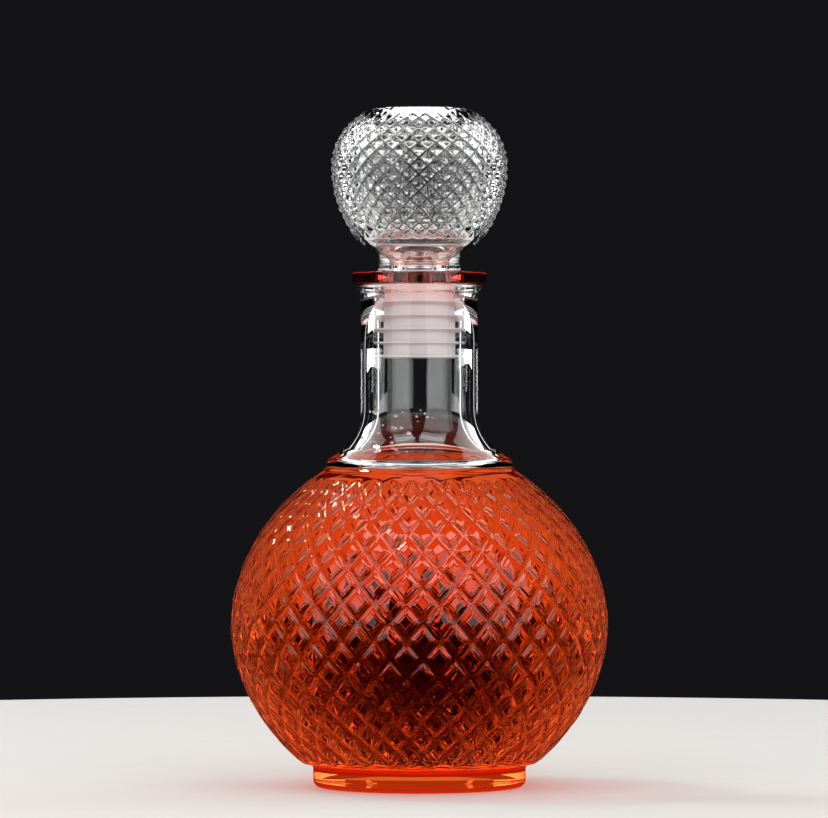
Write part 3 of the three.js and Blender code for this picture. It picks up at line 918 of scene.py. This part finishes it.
def bottle_material(finishes, shape):
    material, graph, output = new_material("bottle_glass")
    height = place_on(graph)[2]
    tall, deep = shape.s.foot_height, shape.s.recess_depth
    # Painted light: the drink's orange seen through the foot is painted into the foot's glass, as a
    # tint and a glow that fade out just above it.
    in_foot = graph.clamp((tall * 1.3 - height) / (tall * 0.4))
    tint = graph.blend(in_foot, (*finishes.glass, 1.0), (*finishes.painted_foot_glow_colour, 1.0))
    base = graph.clamp((deep * 1.4 - height) / (deep * 0.3))
    stipple = base * speckle(graph, STIPPLE_SCALE) * STIPPLE_DEPTH
    normal = bumped(graph, finishes.waviness, speckle(graph, BOTTLE_WAVES) + stipple)
    glass = glass_surface(graph, finishes, tint, normal)
    wetted = wetted_share(graph, shape, DRINK_BOX[1].z)
    clear = without_mirror(graph, finishes.glass_index, glass, wetted)
    surface = graph.mixed(in_foot * FOOT_PAINTED_GLOW_SHARE, clear, glowing(graph, finishes.painted_foot_glow_colour))
    graph.feed(output.inputs["Surface"], lets_lamps_through(graph, surface, GLASS_PASSES))
    return material


def stopper_glass(finishes):
    material, graph, output = new_material("stopper_glass")
    normal = waves(graph, BALL_WAVES, finishes.waviness)
    surface = glass_surface(graph, finishes, (*finishes.glass, 1.0), normal)
    graph.feed(output.inputs["Surface"], lets_lamps_through(graph, surface, GLASS_PASSES))
    return material


def glass_surface(graph, finishes, tint, normal):
    """Polished clear glass, slightly uneven from the mould and faintly smudged by hands."""
    film = graph.clamp(speckle(graph, SMUDGE_SCALE, SMUDGE_DETAIL) - SMUDGE_FROM) * SMUDGE_HAZE
    return clear_body(graph, tint, film, finishes.glass_index, {"Normal": normal})


def drink_material(finishes, level):
    material, graph, output = new_material("orange_drink")
    liquid = clear_body(graph, CLEAR, 0.0, finishes.drink_index)
    wetted = graph.math("LESS_THAN", place_on(graph)[2], level - SURFACE_DEPTH)
    surface = without_mirror(graph, finishes.drink_index, liquid, wetted)
    graph.feed(output.inputs["Surface"], lets_lamps_through(graph, surface, DRINK_PASSES))
    absorbs(graph, output, finishes.drink, finishes.drink_density)
    return material


def drop_material(finishes):
    """Thinned drink in a drop: almost clear, with a mirror-like skin."""
    material, graph, output = new_material("clinging_drops")
    normal = waves(graph, DROP_WAVES, 0.3)
    drop = clear_body(graph, DROP_TINT, 0.02, finishes.drink_index, {"Normal": normal})
    graph.feed(output.inputs["Surface"], drop)
    return material


def sleeve_material(finishes, flange_foot):
    """Plastic, clear where it is the thick flange and milky where it is the thin plug. Its red and
    rose are painted light: the drink's colour, painted in as a red absorption and a faint pink.
    """
    material, graph, output = new_material("plastic_with_painted_drink_red")
    milky_share = graph.clamp((flange_foot - place_on(graph)[2]) / MILKY_RUN)
    normal = waves(graph, FLANGE_WAVES, 0.04)
    clear = clear_body(graph, FLANGE_PAINTED_PINK, 0.04, PLASTIC_INDEX, {"Normal": normal})
    more = {"IOR": PLASTIC_INDEX, "Normal": waves(graph, PLUG_WAVES, 0.06)}
    milky = solid_body(graph, (*finishes.plastic, 1.0), PLUG_ROUGHNESS, more)
    soft = graph.mixed(PLUG_GLOW, milky, glowing(graph, finishes.plastic))
    seen = lets_lamps_through(graph, clear, FLANGE_PAINTED_PINK_PASSES)
    graph.feed(output.inputs["Surface"], graph.mixed(milky_share, seen, soft))
    # Painted light: the drink's red, absorbed through the whole sleeve.
    absorbs(graph, output, finishes.painted_drink_red, finishes.painted_red_density)
    return material


def floor_material(finishes):
    material, graph, output = new_material("pale_table")
    darker = (*[part * 0.8 for part in finishes.floor], 1.0)
    blotches = speckle(graph, FLOOR_BLOTCHES, 4.0) * 0.3
    shade = graph.blend(blotches, (*finishes.floor, 1.0), darker)
    surface = solid_body(graph, shade, FLOOR_ROUGHNESS, {"Specular IOR Level": 0.2})
    graph.feed(output.inputs["Surface"], surface)
    return material


DROP_INPUTS = (
    ("Smallest", "NodeSocketFloat"),
    ("Largest", "NodeSocketFloat"),
    ("Finish", "NodeSocketMaterial"),
)
DROP_RADII = (0.25 * MM, 0.75 * MM)
DROP_SEED = 5
PLACES_SEED = 11
DROPS_SIDE = (200, 285)  # degrees about the axis, on the camera's side


def drops_tree():
    """The tree that sets a round drop of its own size on every point."""
    graph, into, end = new_tree("drops", "Places", "Drops", DROP_INPUTS)
    drop = graph.node("GeometryNodeMeshIcoSphere", values={"Radius": 1.0, "Subdivisions": 2})
    size = graph.node(
        "FunctionNodeRandomValue",
        {"data_type": "FLOAT"},
        {2: into["Smallest"], 3: into["Largest"], "Seed": DROP_SEED},
    )
    points = graph.node(
        "GeometryNodeInstanceOnPoints",
        values={
            "Points": into["Places"],
            "Instance": drop.outputs["Mesh"],
            "Scale": size.outputs[1],
        },
    )
    real = graph.node("GeometryNodeRealizeInstances", values={"Geometry": points.outputs[0]})
    smooth = graph.node("GeometryNodeSetShadeSmooth", values={"Geometry": real.outputs[0]})
    dressed = graph.node(
        "GeometryNodeSetMaterial",
        values={"Geometry": smooth.outputs[0], "Material": into["Finish"]},
    )
    graph.feed(end.inputs["Drops"], dressed.outputs[0])
    return graph.tree


def drop_places(shape, level, number):
    """Scattered places on the inside of the flare, between the drink and the neck."""
    wall = np.array([point for point in shape.hollow() if point[1] > level + SURFACE_DEPTH])
    chance = np.random.default_rng(PLACES_SEED)
    places = []
    for _ in range(number):
        along = chance.uniform(0, len(wall) - 1)
        radius = float(np.interp(along, range(len(wall)), wall[:, 0]))
        height = float(np.interp(along, range(len(wall)), wall[:, 1]))
        angle = math.radians(chance.uniform(*DROPS_SIDE))
        places.append((radius * math.cos(angle), radius * math.sin(angle), height))
    return places


def dress(piece, body, node):
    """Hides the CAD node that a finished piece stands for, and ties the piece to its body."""
    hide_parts(node)
    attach(piece, body)


# Operators, one for each piece and one for the stage


class DECANTER_OT_bottle(bpy.types.Operator):
    """Make the glass bottle with its diamond relief"""

    bl_idname = "decanter.bottle"
    bl_label = "Glass bottle"

    def execute(self, context):
        sizes = context.scene.decanter_bottle
        shape = BottleShape(sizes)
        outline, start = shape.outline()
        piece = turned_piece(
            "glass_bottle",
            outline,
            bottle_material(context.scene.decanter_finishes, shape),
            sizes.columns,
            shape.row_steps * 2,
            (start, sizes.rows, shape.row_steps),
            turned=sizes.turned,
            groove=sizes.groove,
            bevel=sizes.bevel,
            dome=sizes.dome,
        )
        dress(piece, "bottle", "bottle_glass")
        return {"FINISHED"}


class DECANTER_OT_drink(bpy.types.Operator):
    """Fill the bottle with the drink"""

    bl_idname = "decanter.drink"
    bl_label = "Drink"

    def execute(self, context):
        shape = BottleShape(context.scene.decanter_bottle)
        outline = drink_outline(shape, DRINK_BOX[1].z, WALL_OVERLAP, MENISCUS)
        piece = turned_piece(
            "orange_drink",
            outline,
            drink_material(context.scene.decanter_finishes, DRINK_BOX[1].z),
            PLAIN_COLUMNS,
            PLAIN_STEPS,
            turned=context.scene.decanter_bottle.turned,
        )
        dress(piece, "bottle", "drink")
        return {"FINISHED"}


class DECANTER_OT_drops(bpy.types.Operator):
    """Scatter small drops inside the shoulder"""

    bl_idname = "decanter.drops"
    bl_label = "Drops"

    def execute(self, context):
        finishes = context.scene.decanter_finishes
        shape = BottleShape(context.scene.decanter_bottle)
        mesh = bpy.data.meshes.new("drop_places")
        mesh.from_pydata(drop_places(shape, DRINK_BOX[1].z, finishes.drops), [], [])
        piece = placed("drops", mesh)
        smallest, largest = DROP_RADII
        finish = drop_material(finishes)
        inputs = {"Smallest": smallest, "Largest": largest, "Finish": finish}
        made_plain(piece, drops_tree(), inputs)
        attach(piece, "bottle")
        return {"FINISHED"}


class DECANTER_OT_sleeve(bpy.types.Operator):
    """Make the ribbed plastic sleeve with its flange"""

    bl_idname = "decanter.sleeve"
    bl_label = "Stopper sleeve"

    def execute(self, context):
        shape = StopperShape(context.scene.decanter_stopper)
        bore = context.scene.decanter_bottle.bore_radius
        piece = turned_piece(
            "ribbed_sleeve",
            shape.sleeve(bore),
            sleeve_material(context.scene.decanter_finishes, shape.flange_foot),
            PLAIN_COLUMNS,
            PLAIN_STEPS,
        )
        dress(piece, "stopper", "stopper_sleeve")
        return {"FINISHED"}


class DECANTER_OT_head(bpy.types.Operator):
    """Make the hollow glass ball of the stopper"""

    bl_idname = "decanter.head"
    bl_label = "Stopper ball"

    def execute(self, context):
        sizes = context.scene.decanter_stopper
        shape = StopperShape(sizes)
        outline, start = shape.head()
        piece = turned_piece(
            "glass_ball_stopper",
            outline,
            stopper_glass(context.scene.decanter_finishes),
            sizes.columns,
            shape.row_steps * 2,
            (start, sizes.rows, shape.row_steps),
            turned=sizes.turned,
            groove=sizes.groove,
        )
        dress(piece, "stopper", "stopper_head")
        return {"FINISHED"}


# Soft lamps: name, azimuth and elevation from the bottle in degrees, distance, width, height and
# brightness, where 1 renders as white, then whether it shows mirrored on glass and through glass
LAMPS = (
    ("front_left", -43.0, 20.0, 1.4, 1.2, 1.2, 1.5, True, True),
    ("front_right", 41.0, 20.0, 1.4, 1.4, 1.2, 1.5, True, True),
    ("front_fill", 0.0, 8.0, 1.3, 1.0, 0.4, 9.5, False, False),
    ("top_left", -40.0, 58.0, 1.4, 0.7, 0.4, 4.0, True, True),
    ("top_right", 34.0, 58.0, 1.4, 0.9, 0.4, 4.0, True, True),
    ("overhead", 180.0, 78.0, 1.3, 1.0, 0.6, 0.9, False, True),
    ("side_left", -122.0, 32.0, 1.4, 1.3, 1.05, 2.6, False, True),
    ("side_right", 122.0, 32.0, 1.4, 1.3, 1.05, 2.6, False, True),
    ("low_left", -122.0, -2.6, 1.2, 1.2, 0.1, 4.0, False, True),
    ("low_right", 122.0, -2.6, 1.2, 1.2, 0.1, 4.0, False, True),
    ("edge_left", -161.0, 14.0, 1.5, 0.06, 1.0, 1.5, False, True),
    ("edge_right", 161.0, 14.0, 1.5, 0.06, 1.0, 1.5, False, True),
    ("back_high", 180.0, 40.0, 1.5, 0.9, 0.8, 1.5, False, True),
    ("sparkle", -118.0, 54.0, 1.3, 0.14, 0.14, 50.0, True, True),
)
AIM = Vector((0.0, 0.0, 0.12))
TABLE_THICKNESS = 12 * MM
MOST_BOUNCES = 32


def add_lamp(name, azimuth, elevation, distance, width, height, brightness, mirrored, through):
    """A rectangular soft lamp that faces the bottle. Azimuth 0 is on the camera's side."""
    side, up = math.radians(azimuth), math.radians(elevation)
    back = Vector(
        (math.sin(side) * math.cos(up), -math.cos(side) * math.cos(up), math.sin(up))
    )
    data = bpy.data.lights.new(name, "AREA")
    data.shape = "RECTANGLE"
    data.size, data.size_y = width, height
    data.energy = brightness * math.pi * width * height
    lamp = placed(name, data)
    lamp.location = AIM + back * distance
    lamp.rotation_mode = "QUATERNION"
    lamp.rotation_quaternion = back.to_track_quat("Z", "Y")
    lamp.visible_camera = False
    lamp.visible_glossy = mirrored
    lamp.visible_transmission = through


def add_floor(radius, material):
    """A round pale table top with a rounded edge, its top at height 0."""
    half = TABLE_THICKNESS / 2
    outline = [
        (0.0, -TABLE_THICKNESS),
        (radius - half, -TABLE_THICKNESS),
        *arc(radius - half, -half, half, -90, 90, TABLE_EDGE_STEPS),
        (radius * 0.5, 0.0),
        (0.0, 0.0),
    ]
    floor = turned_piece("floor", outline, material, PLAIN_COLUMNS, 6)
    floor.visible_glossy = False


def add_camera(stage):
    data = bpy.data.cameras.new("camera")
    data.sensor_width = 36.0
    data.lens = stage.lens
    camera = placed("camera", data)
    camera.location = (-stage.sideways, -stage.distance, stage.height)
    camera.rotation_euler = (math.radians(90.0) - stage.tilt, 0.0, 0.0)
    bpy.context.scene.camera = camera


class DECANTER_OT_stage(bpy.types.Operator):
    """Set the table, the soft lamps, the backdrop and the camera"""

    bl_idname = "decanter.stage"
    bl_label = "Stage"

    def execute(self, context):
        scene = context.scene
        finishes = scene.decanter_finishes
        add_floor(scene.decanter_stage.floor_radius, floor_material(finishes))
        for lamp in LAMPS:
            add_lamp(*lamp)
        add_camera(scene.decanter_stage)
        world = bpy.data.worlds.new("studio")
        world.use_nodes = True
        background = world.node_tree.nodes["Background"]
        background.inputs["Color"].default_value = (*finishes.backdrop, 1.0)
        scene.world = world
        scene.view_settings.view_transform = "Standard"
        scene.cycles.caustics_reflective = False
        scene.cycles.caustics_refractive = False
        scene.cycles.max_bounces = MOST_BOUNCES
        scene.cycles.transmission_bounces = MOST_BOUNCES
        scene.cycles.transparent_max_bounces = MOST_BOUNCES
        return {"FINISHED"}


class DECANTER_PT_panel(bpy.types.Panel):
    """The pieces of the decanter, each with its button"""

    bl_label = "Decanter"
    bl_space_type = "VIEW_3D"
    bl_region_type = "UI"
    bl_category = "Decanter"

    def draw(self, context):
        for operator in OPERATORS:
            self.layout.operator(operator.bl_idname)
        for name in PROPERTIES:
            box = self.layout.box()
            box.label(text=name.replace("decanter_", "").capitalize())
            group = getattr(context.scene, name)
            for key in group.bl_rna.properties.keys():
                if key not in ("rna_type", "name"):
                    box.prop(group, key)


PROPERTIES = {
    "decanter_bottle": BottleSizes,
    "decanter_stopper": StopperSizes,
    "decanter_finishes": Finishes,
    "decanter_stage": StageSetup,
}
OPERATORS = (
    DECANTER_OT_bottle,
    DECANTER_OT_drink,
    DECANTER_OT_drops,
    DECANTER_OT_sleeve,
    DECANTER_OT_head,
    DECANTER_OT_stage,
)


def register():
    for kind in (*PROPERTIES.values(), *OPERATORS, DECANTER_PT_panel):
        bpy.utils.register_class(kind)
    for name, group in PROPERTIES.items():
        setattr(bpy.types.Scene, name, PointerProperty(type=group))


def unregister():
    for name in PROPERTIES:
        delattr(bpy.types.Scene, name)
    for kind in (DECANTER_PT_panel, *reversed(OPERATORS), *PROPERTIES.values()):
        bpy.utils.unregister_class(kind)


def main():
    register()
    bpy.ops.decanter.bottle()
    bpy.ops.decanter.drink()
    bpy.ops.decanter.drops()
    bpy.ops.decanter.sleeve()
    bpy.ops.decanter.head()
    bpy.ops.decanter.stage()


if __name__ == "__main__":
    main()
